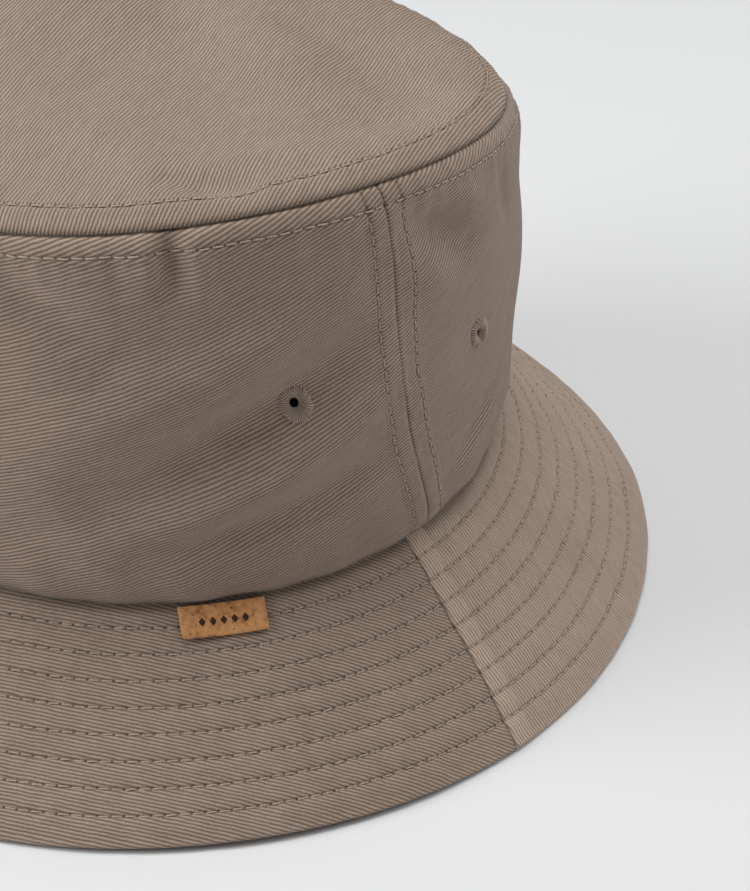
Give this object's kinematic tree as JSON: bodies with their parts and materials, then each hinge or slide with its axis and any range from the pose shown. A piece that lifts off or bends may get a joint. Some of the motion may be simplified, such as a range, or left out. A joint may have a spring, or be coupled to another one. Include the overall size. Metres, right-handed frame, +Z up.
{
  "type": "bucket hat",
  "caption": "Soft round hat with a flat-topped cloth crown, vent eyelets, a downward-sloping quilted brim, an inner sweatband and a small cork flap on the brim seam.",
  "frame": {"origin": "on the hat's upright axis, at the height of the brim's rim", "axes": "+Z up through the crown, -Y the wearer's front, +X the wearer's left; the side seams are at +X and -X"},
  "size_m": [0.28, 0.28, 0.146],
  "materials": {
    "twill": "matte cotton twill, taupe",
    "thread": "spun polyester sewing thread, taupe",
    "eyelet_thread": "embroidery thread, soft sheen",
    "seam_tape": "plain-woven cotton tape",
    "sweatband": "brushed cotton band",
    "stiffener": "fusible felt, white",
    "cork": "thin cork sheet with brown flecks",
    "tab_backing": "thin woven backing",
    "care_label": "white satin ribbon"
  },
  "bodies": {
    "hat": {"tip_panel": "twill", "wall_front": "twill", "wall_back": "twill", "tip_seam_binding": "seam_tape", "left_seam_tape": "seam_tape", "right_seam_tape": "seam_tape", "tip_topstitch": "thread", "wall_topstitch": "thread", "left_seam_stitches": "thread", "right_seam_stitches": "thread", "eyelet_left_front": "eyelet_thread", "eyelet_left_back": "eyelet_thread", "eyelet_right_front": "eyelet_thread", "eyelet_right_back": "eyelet_thread", "brim_upper_front": "twill", "brim_upper_back": "twill", "brim_stiffener": "stiffener", "brim_under_front": "twill", "brim_under_back": "twill", "sweatband": "sweatband", "sweatband_stitches": "thread", "brim_stitch_row_1": "thread", "brim_stitch_row_2": "thread", "brim_stitch_row_3": "thread", "brim_stitch_row_4": "thread", "brim_stitch_row_5": "thread", "brim_stitch_row_6": "thread", "brim_stitch_row_7": "thread", "brim_stitch_row_8": "thread"},
    "tab": {"cork_tab": "cork", "cork_tab_backing": "tab_backing"},
    "label": {"care_label": "care_label"}
  },
  "joints": [
    {"name": "tab_flap", "type": "hinge", "parent": "hat", "child": "tab", "pos_m": [0.08061, -0.04843, 0.0379], "axis": [-0.515, -0.8572, 0], "range_deg": [0, 105]},
    {"name": "label_flap", "type": "hinge", "parent": "hat", "child": "label", "pos_m": [0, 0.08935, 0.06935], "axis": [-1, 0, 0], "range_deg": [0, 110]}
  ]
}
